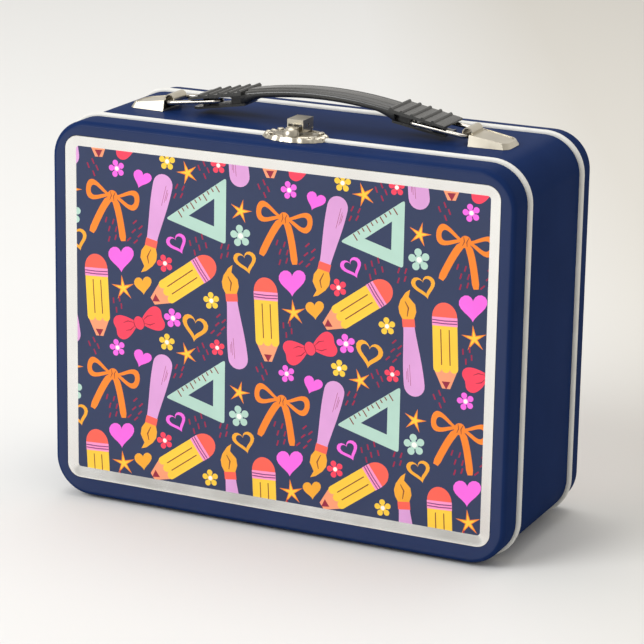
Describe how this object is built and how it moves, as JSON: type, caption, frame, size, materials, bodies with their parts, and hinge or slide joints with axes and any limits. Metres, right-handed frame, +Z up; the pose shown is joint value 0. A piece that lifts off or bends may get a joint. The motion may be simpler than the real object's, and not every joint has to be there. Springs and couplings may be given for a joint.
{
  "type": "metal lunch box",
  "caption": "Flat tin lunch box with a hinged front lid, framed picture panels, rolled rim beads, a top latch and a lifting handle on wire bails",
  "frame": {"origin": "under the middle of the box, on the plane its two rim beads stand on", "axes": "+X to the right along the width, +Y from the hinged front to the back, +Z up to the handle"},
  "size_m": [0.223, 0.0912, 0.1918],
  "materials": {
    "navy_enamel": "gloss enamel",
    "white_rim": "satin white lacquer",
    "panel_print": "lithographed print under gloss varnish",
    "nickel": "nickel plate",
    "wire": "bright plated wire",
    "grip_plastic": "satin moulded plastic"
  },
  "bodies": {
    "case": {"centre_band": "navy_enamel", "rear_shell": "navy_enamel", "rear_picture_panel": "panel_print", "rear_rim_bead": "white_rim", "front_rim_bead_hoop": "white_rim", "front_rim_bead_foot": "white_rim", "hinge_left_body_leaf": "nickel", "hinge_right_body_leaf": "nickel", "hinge_left_pin": "wire", "hinge_right_pin": "wire", "hinge_left_body_rivet_a": "nickel", "hinge_left_body_rivet_b": "nickel", "hinge_right_body_rivet_a": "nickel", "hinge_right_body_rivet_b": "nickel", "latch_plate_rear": "nickel", "latch_plate_rear_rivet_left": "nickel", "latch_plate_rear_rivet_right": "nickel", "latch_hasp_pin": "wire", "handle_bracket_left": "nickel", "handle_bracket_right": "nickel", "bracket_left_rivet_inner": "nickel", "bracket_left_rivet_outer": "nickel", "bracket_right_rivet_inner": "nickel", "bracket_right_rivet_outer": "nickel"},
    "lid": {"front_lid": "navy_enamel", "front_picture_panel": "panel_print", "hinge_left_lid_leaf": "nickel", "hinge_right_lid_leaf": "nickel", "hinge_left_lid_rivet_a": "nickel", "hinge_left_lid_rivet_b": "nickel", "hinge_right_lid_rivet_a": "nickel", "hinge_right_lid_rivet_b": "nickel", "latch_plate_front": "nickel", "latch_plate_front_rivet_left": "nickel", "latch_plate_front_rivet_right": "nickel"},
    "hasp": {"latch_hasp": "nickel"},
    "grip": {"handle_grip": "grip_plastic"},
    "bail_left": {"handle_bail_left": "wire"},
    "bail_right": {"handle_bail_right": "wire"}
  },
  "joints": [
    {"name": "lid_hinge", "type": "hinge", "parent": "case", "child": "lid", "pos_m": [0, -0.03, 0.00125], "axis": [1, 0, 0], "range_deg": [0, 110]},
    {"name": "hasp_hinge", "type": "hinge", "parent": "case", "child": "hasp", "pos_m": [0.002, -0.0217, 0.1786], "axis": [-1, 0, 0], "range_deg": [0, 95]},
    {"name": "handle_lift", "type": "slide", "parent": "case", "child": "grip", "axis": [0, 0, 1], "range_m": [0, 0.012]},
    {"name": "bail_left_pivot", "type": "hinge", "parent": "case", "child": "bail_left", "pos_m": [-0.0719, -0.001, 0.1792], "axis": [0, -1, 0], "range_deg": [0, 30]},
    {"name": "bail_right_pivot", "type": "hinge", "parent": "case", "child": "bail_right", "pos_m": [0.0719, -0.001, 0.1792], "axis": [0, 1, 0], "range_deg": [0, 30]}
  ],
  "couplings": [
    {"joint": "bail_left_pivot", "follows": "handle_lift", "rad_per_m": 41.9},
    {"joint": "bail_right_pivot", "follows": "handle_lift", "rad_per_m": 41.9}
  ]
}
